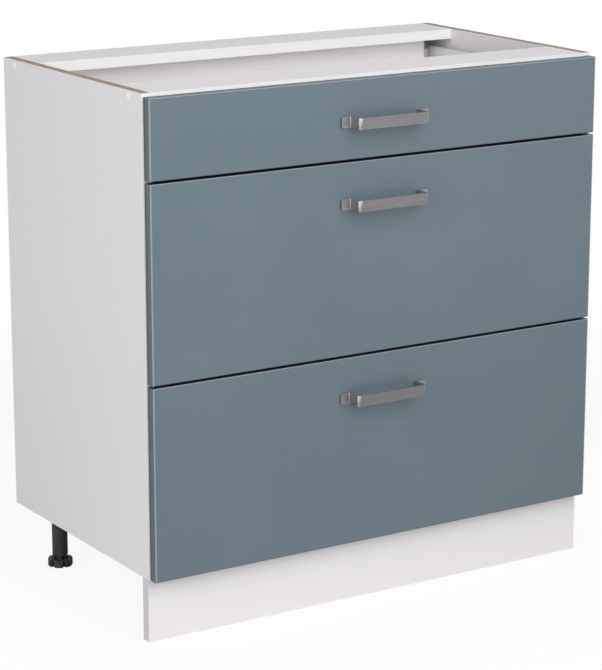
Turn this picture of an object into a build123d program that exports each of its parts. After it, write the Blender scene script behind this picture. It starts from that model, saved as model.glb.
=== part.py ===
from build123d import *
import math
import os

# A kitchen base cabinet with one shallow drawer over two deep pull-outs.
#
# Lengths are in millimetres. The pieces are laid out with X across the cabinet
# from its middle, Y from the front edges of the carcass towards the wall, and Z
# up from the floor. When a piece is saved it moves along Y by ORIGIN_Y, so that
# the finished origin lies on the floor under the middle of the whole cabinet.

# Carcass boards. The carcass is as deep as its drawers, the space behind them
# and the inset back panel need.
CARCASS_WIDTH = 800.0
CARCASS_HEIGHT = 720.0
DRAWER_LENGTH = 400.0  # nominal length of the drawers' sides and of their runners
DRAWER_REAR_GAP = 20.0  # from the drawers' sides to the back panel
FLOOR_HEIGHT = 100.0  # underside of the carcass above the floor
BOARD = 16.0  # thickness of every chipboard panel of the carcass
RAIL_WIDTH = 90.0
BACK_THICKNESS = 3.0
BACK_INSET = 18.0  # from the rear edges to the back panel
GROOVE_DEPTH = 8.0
GROOVE_PLAY = 0.2  # between the back panel and its grooves, all round

# Screws, caps and dowels of the carcass
RAIL_SCREW_INSET = 37.0  # from the front and rear edges of a side
RAIL_SCREW_LENGTH = 50.0
RAIL_SCREW_RADIUS = 3.5
RAIL_SCREW_HEAD_RADIUS = 5.0
CAP_RADIUS = 6.0
CAP_DEPTH = 2.5  # of a cap and of its bore, above the screw's head
CAP_BEVEL = 0.3  # round a cap's outer face
DOWEL_RADIUS = 4.0
DOWEL_LENGTH = 30.0
DOWEL_IN_SIDE = 10.0  # how much of a dowel sits in the side panel
DOWEL_SPACING = 32.0  # from a rail's screw to its dowel
BOTTOM_DOWEL_INSET = 80.0  # from the front and rear edges of the bottom
WORKTOP_HOLE_RADIUS = 2.5
WORKTOP_HOLE_DEPTH = 12.0
WORKTOP_HOLE_INSET = 84.0  # from the inner face of a side
PIN_SIDES = 8  # faces round a hidden fastener and its hole
ROUND_SIDES = 14  # faces round an axle, a stem, a collar or a cap

# Fronts
FRONT_THICKNESS = 16.0
FRONT_REVEAL = 2.5  # side panel edge left bare beside a front
FRONT_GAP = 3.5  # between two fronts
FRONT_TOP_DROP = 5.0  # top front below the carcass top
TOP_FRONT_HEIGHT = 119.0
FRONT_EDGE_RADIUS = 1.5
BUMPER_THICKNESS = 1.0
BUMPER_SIZE = 8.0
BUMPER_INSET = 14.0  # from a front's top and bottom edges

# Handles: a flat strip bent into a hat shape
HANDLE_BAR = 125.0
HANDLE_REACH = 29.0  # from the front's face to the bar's face
HANDLE_FLANGE = 15.0
HANDLE_STRIP = 17.0
HANDLE_THICKNESS = 4.0
HANDLE_BEND_RADIUS = 3.0
HANDLE_CORNER_RADIUS = 3.5
HANDLE_DROP = 62.0  # from a front's top edge to the handle's middle
HANDLE_SCREW_RADIUS = 2.0
HANDLE_SCREW_HEAD_RADIUS = 4.0
HANDLE_SCREW_HEAD = 2.0
HANDLE_SCREW_BITE = 3.0  # thread that enters the flange
CLEARANCE_HOLE = 0.25  # round a screw in the board that it passes through

# Roller runners: a folded channel on each side panel with a roller near its
# front end, in which a second roller runs at the rear end of the drawer's side
SHEET = 1.2  # steel of the runners and of the drawers' sides
RUNNER_LENGTH = DRAWER_LENGTH
RUNNER_SETBACK = 3.0  # behind the carcass's front edge
RUNNER_LIFT = 4.0  # above its front's lower edge, or above the bottom panel
CHANNEL_WIDTH = 11.0
CHANNEL_LIP = 3.0  # turned-up edge that keeps the drawer's roller in
ROLLER_RADIUS = 10.0
ROLLER_WIDTH = 7.0
ROLLER_OFFSET = 2.4  # from the side panel to a roller's near face
ROLLER_INSET = 14.0  # axle from the runner's front or the drawer side's rear
ROLLER_GAP = 0.3  # between a roller and what it runs on or beside
ROLLER_PLAY = 0.8  # between a roller or flange and the sheet it runs clear of
AXLE_RADIUS = 3.0
AXLE_SHOULDER = 1.5  # how far the shoulders stand out round an axle
AXLE_HEAD = 0.6
RUNNING_FIT = 0.05  # radial, round an axle or a foot's stem
STOP_LENGTH = 3.0
STOP_HEIGHT = 2.5
STOP_GAP = 0.3  # between the stop and the open drawer's roller
DRAWER_TRAVEL = 300.0

# Drawer boxes: steel sides, with a chipboard bottom and back
WALL_OFFSET = 12.0  # from the side panel to the steel side's wall
SIDE_LIFT = 2.0  # steel side's lower edge above the runner's underside
SIDE_HEIGHT = 86.0
SHELF = 15.0  # turned-in edge that carries the drawer's bottom
HEM_WIDTH = 4.4  # top edge, folded outwards and down
HEM_DEPTH = 7.0
TAB_WIDTH = 30.0  # folded in behind the back board
TAB_DROP = 5.5  # tab below the wall, or below the tall back board
DRAWER_BOARD = 16.0
DRAWER_BACK_INSET = 19.0  # from the steel side to the end of the back board
SHALLOW_BACK_RISE = 11.0  # back board above the steel sides
DEEP_BACK_RISE = 72.0
BRACKET_LENGTH = 35.0
BRACKET_FOOT = 20.0
BRACKET_HEIGHT = 50.0
BRACKET_SHEET = 1.5
GALLERY_RISE = 60.0  # rod above the steel side
GALLERY_RADIUS = 5.0
GALLERY_INSET = 8.8  # from the steel side's inner face to the rod's middle
SOCKET_SIZE = 14.0
SOCKET_LENGTH = 10.0

# Legs and plinth
LEG_INSET_SIDE = 50.0
LEG_INSET_FRONT = 62.0
LEG_INSET_BACK = 52.0
LEG_RADIUS = 12.5
LEG_FIT = 0.1  # round the leg, in its socket and in its clip
LEG_PLATE = 60.0
LEG_PLATE_THICKNESS = 4.0
LEG_PLATE_CHAMFER = 10.0
COLLAR_DEPTH = 8.0
COLLAR_WALL = 2.5
LEG_RIB_THICKNESS = 3.0
BOSS_RADIUS = 5.0  # peg on the leg's plate, in the bottom panel
BOSS_HEIGHT = 10.0
FOOT_WIDTH = 37.0  # across two opposite lobes
FOOT_HEIGHT = 12.0
FOOT_BASE = 3.0
FOOT_BASE_RADIUS = 15.0
FOOT_LOBES = 6
FOOT_NOTCH_WIDTH = 5.0
FOOT_NOTCH_DEPTH = 3.2
FOOT_WELL_GAP = 0.9  # round the leg, inside the lobed rim
STEM_RADIUS = 5.0
STEM_GRIP = 30.0  # length of stem left in the leg at its greatest height
FOOT_TRAVEL = 20.0
FOOT_GAP = 0.3  # under the leg when the foot is screwed right in
PLINTH_SETBACK = 6.0
PLINTH_WIDTH = 796.0
PLINTH_GAP = 1.0  # above and below the plinth board
CLIP_HEIGHT = 14.0
CLIP_WALL = 2.5
CLIP_JAW = 0.4  # share of the octagon's side that each jaw turns in
CLIP_TURN = math.radians(22.5)  # half the angle that an octagon's side spans

# Levels and planes that several pieces share
CARCASS_TOP = FLOOR_HEIGHT + CARCASS_HEIGHT
OUTER_X = CARCASS_WIDTH / 2
INNER_X = OUTER_X - BOARD
FRONT_BACK_Y = -BUMPER_THICKNESS
FRONT_FACE_Y = FRONT_BACK_Y - FRONT_THICKNESS
HANDLE_FACE_Y = FRONT_FACE_Y - HANDLE_REACH
WALL_REAR_Y = FRONT_BACK_Y + DRAWER_LENGTH
BACK_PANEL_Y = WALL_REAR_Y + DRAWER_REAR_GAP
CARCASS_DEPTH = BACK_PANEL_Y + BACK_THICKNESS + BACK_INSET
ORIGIN_Y = (CARCASS_DEPTH + HANDLE_FACE_Y) / 2
RAIL_MID_Z = CARCASS_TOP - BOARD / 2
RAIL_UNDERSIDE = CARCASS_TOP - BOARD
BOTTOM_TOP = FLOOR_HEIGHT + BOARD
DEEP_FRONT_HEIGHT = (CARCASS_HEIGHT - FRONT_TOP_DROP - TOP_FRONT_HEIGHT - 2 * FRONT_GAP) / 2
MIDDLE_FRONT_Z = FLOOR_HEIGHT + DEEP_FRONT_HEIGHT + FRONT_GAP
TOP_FRONT_Z = MIDDLE_FRONT_Z + DEEP_FRONT_HEIGHT + FRONT_GAP

# Heights above the underside of a drawer's runner
DRAWER_ROLLER_RISE = SHEET + ROLLER_GAP + ROLLER_RADIUS
CABINET_ROLLER_RISE = SHEET + ROLLER_PLAY + ROLLER_RADIUS
FLANGE_RISE = CABINET_ROLLER_RISE + ROLLER_RADIUS + ROLLER_GAP
CHANNEL_HEIGHT = FLANGE_RISE + 2 * SHEET + ROLLER_PLAY + SHEET
SIDE_TOP = SIDE_LIFT + SIDE_HEIGHT
BOARD_TOP = SIDE_LIFT + SHEET + DRAWER_BOARD
SHALLOW_BACK_TOP = SIDE_TOP + SHALLOW_BACK_RISE
DEEP_BACK_TOP = SIDE_TOP + DEEP_BACK_RISE

# Each drawer: its front's lower edge and height, its runner's underside, and
# the tops of its back board and of the tabs behind that board
FRONTS = {
    "top": (TOP_FRONT_Z, TOP_FRONT_HEIGHT),
    "middle": (MIDDLE_FRONT_Z, DEEP_FRONT_HEIGHT),
    "bottom": (FLOOR_HEIGHT, DEEP_FRONT_HEIGHT),
}
RUNNER_Z = {
    "top": TOP_FRONT_Z + RUNNER_LIFT,
    "middle": MIDDLE_FRONT_Z + RUNNER_LIFT,
    "bottom": BOTTOM_TOP + RUNNER_LIFT,
}
BACK_TOPS = {"top": SHALLOW_BACK_TOP, "middle": DEEP_BACK_TOP, "bottom": DEEP_BACK_TOP}
TAB_TOPS = {
    "top": SIDE_TOP - TAB_DROP,
    "middle": DEEP_BACK_TOP - TAB_DROP,
    "bottom": DEEP_BACK_TOP - TAB_DROP,
}
DEEP_DRAWERS = ("middle", "bottom")

# Lengths and widths within a drawer
RUNNER_REAR_Y = RUNNER_SETBACK + RUNNER_LENGTH
CABINET_ROLLER_Y = RUNNER_SETBACK + ROLLER_INSET
DRAWER_ROLLER_Y = WALL_REAR_Y - ROLLER_INSET
ROLLER_FAR = ROLLER_OFFSET + ROLLER_WIDTH
WALL_INNER_X = INNER_X - WALL_OFFSET - SHEET

LEFT = Vector(-1, 0, 0)
BACKWARD = Vector(0, 1, 0)
FORWARD = Vector(0, -1, 0)
UP = Vector(0, 0, 1)


def block(x, y, z):
    """A rectangular board from its lowest and highest X, Y and Z."""
    low = Vector(x[0], y[0], z[0])
    corner = (Align.MIN, Align.MIN, Align.MIN)
    return Pos(low) * Box(x[1] - x[0], y[1] - y[0], z[1] - z[0], align=corner)


def bar(start, direction, radius, length):
    """A round bar, or the hole for one, from a point in a direction."""
    ends = (Align.CENTER, Align.CENTER, Align.MIN)
    return Plane(origin=start, z_dir=direction) * Cylinder(radius, length, align=ends)


def pin(start, direction, radius, length, sides=PIN_SIDES):
    """A faceted bar, or the hole for one, from a point in a direction."""
    across = Plane(origin=start, z_dir=direction)
    return extrude(across * RegularPolygon(radius, sides), length)


def taper(start, direction, start_radius, end_radius, length, sides):
    """A faceted cone between two radii."""
    near = Plane(origin=start, z_dir=direction) * RegularPolygon(start_radius, sides)
    far_plane = Plane(origin=start + direction * length, z_dir=direction)
    return loft([near, far_plane * RegularPolygon(end_radius, sides)], ruled=True)


def countersunk(start, direction, head_radius, radius, length):
    """A screw with a cone head whose flat top lies at the start point."""
    head = head_radius - radius
    cone = taper(start, direction, head_radius, radius, head, PIN_SIDES)
    return cone + pin(start + direction * head, direction, radius, length - head)


def mirrored(shape):
    """The same piece on the other side of the cabinet."""
    return mirror(shape, about=Plane.YZ)


def both_sides(*shapes):
    """The pieces and their mirror images."""
    return [*shapes, *(mirrored(shape) for shape in shapes)]


def save(name, *shapes):
    """Write one node, moved so that the origin is under the cabinet's middle."""
    moved = [Pos(0, -ORIGIN_Y, 0) * shape for shape in shapes]
    solids = [solid for shape in moved for solid in shape.solids()]
    whole = solids[0] if len(solids) == 1 else Compound(solids)
    export_step(whole, f"parts/{name}.step")


# ---------------------------------------------------------------- carcass

def rail_spans():
    """Front and rear edges of the two flat rails."""
    return {
        "front_rail": (0.0, RAIL_WIDTH),
        "rear_rail": (CARCASS_DEPTH - RAIL_WIDTH, CARCASS_DEPTH),
    }


def rail_screw_ys():
    return (RAIL_SCREW_INSET, CARCASS_DEPTH - RAIL_SCREW_INSET)


def dowel_points():
    """Y and Z of the dowels in one side: one to each rail, two to the bottom."""
    rail_y = RAIL_SCREW_INSET + DOWEL_SPACING
    bottom_z = FLOOR_HEIGHT + BOARD / 2
    return [
        (rail_y, RAIL_MID_Z),
        (CARCASS_DEPTH - rail_y, RAIL_MID_Z),
        (BOTTOM_DOWEL_INSET, bottom_z),
        (CARCASS_DEPTH - BOTTOM_DOWEL_INSET, bottom_z),
    ]


def dowels():
    """Dowels across the joints of the right side."""
    x = INNER_X + DOWEL_IN_SIDE
    return [pin(Vector(x, y, z), LEFT, DOWEL_RADIUS, DOWEL_LENGTH) for y, z in dowel_points()]


def rail_screws():
    """The long screws through the right side into both rails."""
    return [
        countersunk(
            Vector(OUTER_X - CAP_DEPTH, y, RAIL_MID_Z),
            LEFT,
            RAIL_SCREW_HEAD_RADIUS,
            RAIL_SCREW_RADIUS,
            RAIL_SCREW_LENGTH,
        )
        for y in rail_screw_ys()
    ]


def cap_bores():
    """Shallow bores in the right side, over the rail screws' heads."""
    return [
        pin(Vector(OUTER_X, y, RAIL_MID_Z), LEFT, CAP_RADIUS, CAP_DEPTH, ROUND_SIDES)
        for y in rail_screw_ys()
    ]


def screw_caps():
    """Round caps pressed into the bores, flush with the right side."""
    rim_radius = CAP_RADIUS - CAP_BEVEL
    caps = []
    for y in rail_screw_ys():
        face = Vector(OUTER_X, y, RAIL_MID_Z)
        rim = taper(face, LEFT, rim_radius, CAP_RADIUS, CAP_BEVEL, ROUND_SIDES)
        below_rim = face + LEFT * CAP_BEVEL
        caps.append(rim + pin(below_rim, LEFT, CAP_RADIUS, CAP_DEPTH - CAP_BEVEL, ROUND_SIDES))
    return caps


def back_grooves():
    """The space that the grooves for the back panel take out of the boards."""
    reach = GROOVE_DEPTH
    y = (BACK_PANEL_Y - GROOVE_PLAY, BACK_PANEL_Y + BACK_THICKNESS + GROOVE_PLAY)
    x = (-INNER_X - reach, INNER_X + reach)
    z = (BOTTOM_TOP - reach, RAIL_UNDERSIDE + reach)
    return block(x, y, z)


def side_panel():
    """Right side: a full-height board, grooved and drilled."""
    panel = block((INNER_X, OUTER_X), (0, CARCASS_DEPTH), (FLOOR_HEIGHT, CARCASS_TOP))
    return panel - back_grooves() - rail_screws() - cap_bores() - dowels()


def cross_board(y, z):
    """A board between the two sides, with what the side joints take out of it."""
    joints = both_sides(*rail_screws(), *dowels())
    return block((-INNER_X, INNER_X), y, z) - back_grooves() - joints


def worktop_holes(y):
    """Blind holes up from a rail's underside, for the screws of the worktop."""
    x = INNER_X - WORKTOP_HOLE_INSET
    return both_sides(bar(Vector(x, y, RAIL_UNDERSIDE), UP, WORKTOP_HOLE_RADIUS, WORKTOP_HOLE_DEPTH))


def rail(span):
    """A flat rail, top flush with the sides."""
    board = cross_board(span, (RAIL_UNDERSIDE, CARCASS_TOP))
    return board - worktop_holes(sum(span) / 2)


def leg_points():
    """Middles of the two right-hand legs, front and rear: X and Y."""
    x = OUTER_X - LEG_INSET_SIDE
    return {
        "front": (x, LEG_INSET_FRONT),
        "rear": (x, CARCASS_DEPTH - LEG_INSET_BACK),
    }


def leg_boss(x, y):
    return pin(Vector(x, y, FLOOR_HEIGHT), UP, BOSS_RADIUS, BOSS_HEIGHT)


def bottom_panel():
    """Bottom board, drilled for the pegs of the four legs' plates."""
    board = cross_board((0, CARCASS_DEPTH), (FLOOR_HEIGHT, BOTTOM_TOP))
    return board - both_sides(*(leg_boss(x, y) for x, y in leg_points().values()))


def back_panel():
    """Thin hardboard, held in grooves on all four sides."""
    reach = GROOVE_DEPTH - GROOVE_PLAY
    return block(
        (-INNER_X - reach, INNER_X + reach),
        (BACK_PANEL_Y, BACK_PANEL_Y + BACK_THICKNESS),
        (BOTTOM_TOP - reach, RAIL_UNDERSIDE + reach),
    )


def bumpers():
    """Soft pads on the front edges of both sides, which the fronts close on."""
    x_mid = OUTER_X - BOARD / 2
    half = BUMPER_SIZE / 2
    pads = []
    for z, height in FRONTS.values():
        for z_mid in (z + BUMPER_INSET, z + height - BUMPER_INSET):
            pads.append(
                block(
                    (x_mid - half, x_mid + half),
                    (FRONT_BACK_Y, 0),
                    (z_mid - half, z_mid + half),
                )
            )
    return both_sides(*pads)


# ---------------------------------------------------------------- runners

def sheet_section(points, thickness):
    """Section of a folded sheet, to the right of a path along one of its faces."""
    path = Polyline(*points)
    outline = offset(path, amount=thickness, side=Side.RIGHT, kind=Kind.INTERSECTION, closed=True)
    return make_face(outline)


def along_side(section, z, front_y, rear_y):
    """Run a section along the right side panel.

    The section's own axes are the distance in from the side panel and the
    height above z.
    """
    at_side = Plane(origin=(INNER_X, rear_y, z), x_dir=LEFT, z_dir=BACKWARD)
    return extrude(at_side * section, front_y - rear_y)


def cross_pin(near, far, radius, y, z):
    """A pin between two distances in from the side panel."""
    return pin(Vector(INNER_X - near, y, z), LEFT, radius, far - near, ROUND_SIDES)


def axle(near, far, y, z):
    """Riveted axle with a shoulder on each side of its roller."""
    shoulder = AXLE_RADIUS + AXLE_SHOULDER
    journal = cross_pin(near, far, AXLE_RADIUS, y, z)
    near_shoulder = cross_pin(near, ROLLER_OFFSET - ROLLER_GAP, shoulder, y, z)
    far_shoulder = cross_pin(ROLLER_FAR + ROLLER_GAP, far, shoulder, y, z)
    return journal + near_shoulder + far_shoulder


def roller(y, z):
    """Right-hand roller. Its faceted bore clears the axle's corners as it turns."""
    tread = bar(Vector(INNER_X - ROLLER_OFFSET, y, z), LEFT, ROLLER_RADIUS, ROLLER_WIDTH)
    bore_radius = (AXLE_RADIUS + RUNNING_FIT) / math.cos(math.pi / ROUND_SIDES)
    return tread - cross_pin(ROLLER_OFFSET, ROLLER_FAR, bore_radius, y, z)


def cabinet_roller(name):
    return roller(CABINET_ROLLER_Y, RUNNER_Z[name] + CABINET_ROLLER_RISE)


def drawer_roller(name):
    return roller(DRAWER_ROLLER_Y, RUNNER_Z[name] + DRAWER_ROLLER_RISE)


def runner_stop(name):
    """Raised lug on the channel's floor, which halts the drawer's roller."""
    axle_above_lug = ROLLER_RADIUS + ROLLER_GAP - STOP_HEIGHT
    reach = math.sqrt(ROLLER_RADIUS**2 - axle_above_lug**2)
    rear_y = DRAWER_ROLLER_Y - DRAWER_TRAVEL - reach - STOP_GAP
    floor_z = RUNNER_Z[name] + SHEET
    return block(
        (INNER_X - ROLLER_FAR, INNER_X - ROLLER_OFFSET),
        (rear_y - STOP_LENGTH, rear_y),
        (floor_z, floor_z + STOP_HEIGHT),
    )


def runner(name):
    """Right runner: a channel open towards the drawer, with its roller's axle."""
    outline = [
        (CHANNEL_WIDTH, CHANNEL_LIP),
        (CHANNEL_WIDTH, 0),
        (0, 0),
        (0, CHANNEL_HEIGHT),
        (CHANNEL_WIDTH, CHANNEL_HEIGHT),
    ]
    section = sheet_section(outline, SHEET)
    channel = along_side(section, RUNNER_Z[name], RUNNER_SETBACK, RUNNER_REAR_Y)
    axle_end = ROLLER_FAR + ROLLER_GAP + AXLE_HEAD
    roller_axle = axle(0, axle_end, CABINET_ROLLER_Y, RUNNER_Z[name] + CABINET_ROLLER_RISE)
    return channel + roller_axle + runner_stop(name)


# ---------------------------------------------------------------- drawers

def drawer_side(name):
    """Right side of a drawer: one folded steel sheet.

    From the shelf under the drawer's bottom it rises as the wall, which ends in
    a hem turned outwards and down. A doubled flange lies on the cabinet's
    roller, and a tab at the rear holds the back board.
    """
    z = RUNNER_Z[name]
    hem_x = WALL_OFFSET + 2 * SHEET - HEM_WIDTH
    outline = [
        (WALL_OFFSET + SHELF, SIDE_LIFT),
        (WALL_OFFSET, SIDE_LIFT),
        (WALL_OFFSET, SIDE_TOP - SHEET),
        (hem_x, SIDE_TOP - SHEET),
        (hem_x, SIDE_TOP - HEM_DEPTH),
    ]
    wall = along_side(sheet_section(outline, SHEET), z, FRONT_BACK_Y, WALL_REAR_Y)
    flange = block(
        (INNER_X - WALL_OFFSET - SHEET, INNER_X - SHEET - ROLLER_PLAY),
        (FRONT_BACK_Y, WALL_REAR_Y),
        (z + FLANGE_RISE, z + FLANGE_RISE + 2 * SHEET),
    )
    tab = block(
        (WALL_INNER_X - TAB_WIDTH, INNER_X - WALL_OFFSET),
        (WALL_REAR_Y, WALL_REAR_Y + SHEET),
        (z + SIDE_LIFT, z + TAB_TOPS[name]),
    )
    axle_end = ROLLER_OFFSET - ROLLER_GAP - AXLE_HEAD
    roller_axle = axle(axle_end, WALL_OFFSET + SHEET, DRAWER_ROLLER_Y, z + DRAWER_ROLLER_RISE)
    return wall + flange + tab + roller_axle


def drawer_bottom(name):
    """Board that lies on the shelves of both steel sides."""
    z = RUNNER_Z[name]
    return block(
        (-WALL_INNER_X, WALL_INNER_X),
        (FRONT_BACK_Y, WALL_REAR_Y),
        (z + BOARD_TOP - DRAWER_BOARD, z + BOARD_TOP),
    )


def drawer_back(name):
    """Board that stands on the drawer's bottom, in front of the tabs."""
    half = WALL_INNER_X - DRAWER_BACK_INSET
    z = RUNNER_Z[name]
    return block(
        (-half, half),
        (WALL_REAR_Y - DRAWER_BOARD, WALL_REAR_Y),
        (z + BOARD_TOP, z + BACK_TOPS[name]),
    )


def front_bracket(name):
    """Right steel angle in the corner of the drawer's side and front."""
    mid_z = RUNNER_Z[name] + (BOARD_TOP + SIDE_TOP) / 2
    outline = [
        (WALL_INNER_X, FRONT_BACK_Y + BRACKET_LENGTH),
        (WALL_INNER_X, FRONT_BACK_Y),
        (WALL_INNER_X - BRACKET_FOOT, FRONT_BACK_Y),
    ]
    angle = extrude(sheet_section(outline, BRACKET_SHEET), BRACKET_HEIGHT)
    return Pos(0, 0, mid_z - BRACKET_HEIGHT / 2) * angle


def gallery(name):
    """Right gallery rod of a deep drawer, with its socket on the front."""
    x = WALL_INNER_X - GALLERY_INSET
    z = RUNNER_Z[name] + SIDE_TOP + GALLERY_RISE
    half = SOCKET_SIZE / 2
    socket_end = FRONT_BACK_Y + SOCKET_LENGTH
    socket = block((x - half, x + half), (FRONT_BACK_Y, socket_end), (z - half, z + half))
    rod = bar(Vector(x, socket_end, z), BACKWARD, GALLERY_RADIUS, WALL_REAR_Y - socket_end)
    return socket + rod


def handle_z(name):
    z, height = FRONTS[name]
    return z + height - HANDLE_DROP


def handle_screw_x():
    return (HANDLE_BAR + HANDLE_FLANGE) / 2


def handle_screw(name):
    """Right machine screw through a front into the handle's flange."""
    head_start = Vector(handle_screw_x(), FRONT_BACK_Y + HANDLE_SCREW_HEAD, handle_z(name))
    head = pin(head_start, FORWARD, HANDLE_SCREW_HEAD_RADIUS, HANDLE_SCREW_HEAD)
    shank_length = HANDLE_SCREW_HEAD + FRONT_THICKNESS + HANDLE_SCREW_BITE
    return head + pin(head_start, FORWARD, HANDLE_SCREW_RADIUS, shank_length)


def front(name):
    """Lacquered front with softened face edges and two handle holes."""
    z, height = FRONTS[name]
    half = CARCASS_WIDTH / 2 - FRONT_REVEAL
    panel = block((-half, half), (FRONT_FACE_Y, FRONT_BACK_Y), (z, z + height))
    face_edges = panel.faces().sort_by(Axis.Y)[0].edges()
    panel = fillet(face_edges, FRONT_EDGE_RADIUS)
    hole_start = Vector(handle_screw_x(), FRONT_BACK_Y, handle_z(name))
    hole = pin(hole_start, FORWARD, HANDLE_SCREW_RADIUS + CLEARANCE_HOLE, FRONT_THICKNESS)
    return panel - both_sides(hole)


def handle(name):
    """Flat strip bent forward at both ends, with a flange at each foot."""
    half_strip = HANDLE_THICKNESS / 2
    bar_end = HANDLE_BAR / 2 - half_strip
    flange_end = HANDLE_BAR / 2 + HANDLE_FLANGE
    flange_y = FRONT_FACE_Y - half_strip
    bar_y = HANDLE_FACE_Y + half_strip
    path = FilletPolyline(
        (flange_end, flange_y),
        (bar_end, flange_y),
        (bar_end, bar_y),
        (-bar_end, bar_y),
        (-bar_end, flange_y),
        (-flange_end, flange_y),
        radius=HANDLE_BEND_RADIUS,
    )
    low = Pos(0, 0, handle_z(name) - HANDLE_STRIP / 2)
    bow = low * extrude(trace(path, HANDLE_THICKNESS), HANDLE_STRIP)
    ends = bow.faces().filter_by(Axis.X)
    outer = [ends.sort_by(Axis.X)[0], ends.sort_by(Axis.X)[-1]]
    corners = [edge for face in outer for edge in face.edges().filter_by(Axis.Y)]
    bow = fillet(corners, HANDLE_CORNER_RADIUS)
    return bow - both_sides(handle_screw(name))


# ---------------------------------------------------------------- legs

def leg_plate(x, y):
    """Leg socket: a plate with a peg above it and a ribbed collar below."""
    half = LEG_PLATE / 2
    plate = Pos(0, 0, LEG_PLATE_THICKNESS / 2) * Box(LEG_PLATE, LEG_PLATE, LEG_PLATE_THICKNESS)
    plate = chamfer(plate.edges().filter_by(Axis.Z), LEG_PLATE_CHAMFER)
    inside = RegularPolygon(LEG_RADIUS + LEG_FIT, ROUND_SIDES, major_radius=False)
    collar_radius = LEG_RADIUS + LEG_FIT + COLLAR_WALL
    outside = RegularPolygon(collar_radius, ROUND_SIDES, major_radius=False)
    collar = extrude(outside - inside, -COLLAR_DEPTH)
    rib_start = collar_radius - COLLAR_WALL / 2
    rib_outline = Polygon(
        (rib_start, 0),
        (rib_start, -COLLAR_DEPTH),
        (collar_radius, -COLLAR_DEPTH),
        (half, 0),
        align=None,
    )
    rib = extrude(Plane.XZ * rib_outline, LEG_RIB_THICKNESS / 2, both=True)
    ribs = [Rot(0, 0, turn) * rib for turn in (0, 90, 180, 270)]
    socket = Pos(x, y, FLOOR_HEIGHT - LEG_PLATE_THICKNESS) * (plate + collar + ribs)
    return socket + leg_boss(x, y)


def leg_tube(x, y):
    """Leg that plugs into its socket, bored for the foot's stem."""
    top = FLOOR_HEIGHT - LEG_PLATE_THICKNESS
    low = FOOT_BASE + FOOT_GAP
    tube = bar(Vector(x, y, low), UP, LEG_RADIUS, top - low)
    bore_length = STEM_GRIP + FOOT_TRAVEL + FOOT_GAP
    bore = pin(Vector(x, y, low), UP, STEM_RADIUS + RUNNING_FIT, bore_length, ROUND_SIDES)
    return tube - bore


def foot(x, y):
    """Levelling foot: a lobed knob on a round base, with a stem into the leg."""
    sector = 360 / FOOT_LOBES
    apothem = FOOT_WIDTH / 2
    outline = RegularPolygon(apothem, FOOT_LOBES, major_radius=False)
    corner_radius = apothem / math.cos(math.radians(sector / 2))
    notch = Pos(corner_radius, 0) * Rectangle(2 * FOOT_NOTCH_DEPTH, FOOT_NOTCH_WIDTH)
    outline = outline - [Rot(0, 0, sector * turn) * notch for turn in range(FOOT_LOBES)]
    well_radius = LEG_RADIUS + FOOT_WELL_GAP
    outline = outline - RegularPolygon(well_radius, ROUND_SIDES, major_radius=False)
    rim = Pos(0, 0, FOOT_BASE) * extrude(outline, FOOT_HEIGHT - FOOT_BASE)
    base = extrude(RegularPolygon(FOOT_BASE_RADIUS, ROUND_SIDES), FOOT_BASE)
    stem_top = FOOT_BASE + STEM_GRIP + FOOT_TRAVEL
    stem = pin(Vector(0, 0, 0), UP, STEM_RADIUS, stem_top, ROUND_SIDES)
    return Pos(x, y, 0) * (rim + base + stem)


def plinth_board():
    half = PLINTH_WIDTH / 2
    y = (PLINTH_SETBACK, PLINTH_SETBACK + BOARD)
    return block((-half, half), y, (PLINTH_GAP, FLOOR_HEIGHT - PLINTH_GAP))


def plinth_clip():
    """Right spring clip on the plinth's back, snapped round the front leg.

    Its arms follow the sides of an octagon round the leg, and each ends in a
    jaw that turns in behind the leg.
    """
    x, y = leg_points()["front"]
    arm = LEG_RADIUS + LEG_FIT + CLIP_WALL
    turn_y = arm * math.tan(CLIP_TURN)
    jaw = CLIP_JAW * (arm - turn_y)
    board_y = PLINTH_SETBACK + BOARD - y
    right = [(arm - jaw, turn_y + jaw), (arm, turn_y), (arm, board_y)]
    left = [(-px, py) for px, py in reversed(right)]
    section = sheet_section(right + left, CLIP_WALL)
    return Pos(x, y, FLOOR_HEIGHT / 2 - CLIP_HEIGHT / 2) * extrude(section, CLIP_HEIGHT)


# ---------------------------------------------------------------- the whole

def save_carcass():
    right = side_panel()
    save("side_panel_right", right)
    save("side_panel_left", mirrored(right))
    save("bottom_panel", bottom_panel())
    save("back_panel", back_panel())
    for name, span in rail_spans().items():
        save(name, rail(span))
    save("rail_screws", *both_sides(*rail_screws()))
    save("screw_caps", *both_sides(*screw_caps()))
    save("dowels", *both_sides(*dowels()))
    save("front_bumpers", *bumpers())


def save_legs():
    corners = leg_points()
    save("leg_plates", *both_sides(*(leg_plate(x, y) for x, y in corners.values())))
    save("leg_tubes", *both_sides(*(leg_tube(x, y) for x, y in corners.values())))
    for corner, (x, y) in corners.items():
        right = foot(x, y)
        save(f"foot_{corner}_right", right)
        save(f"foot_{corner}_left", mirrored(right))
    save("plinth_board", plinth_board())
    save("plinth_clips", *both_sides(plinth_clip()))


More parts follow.
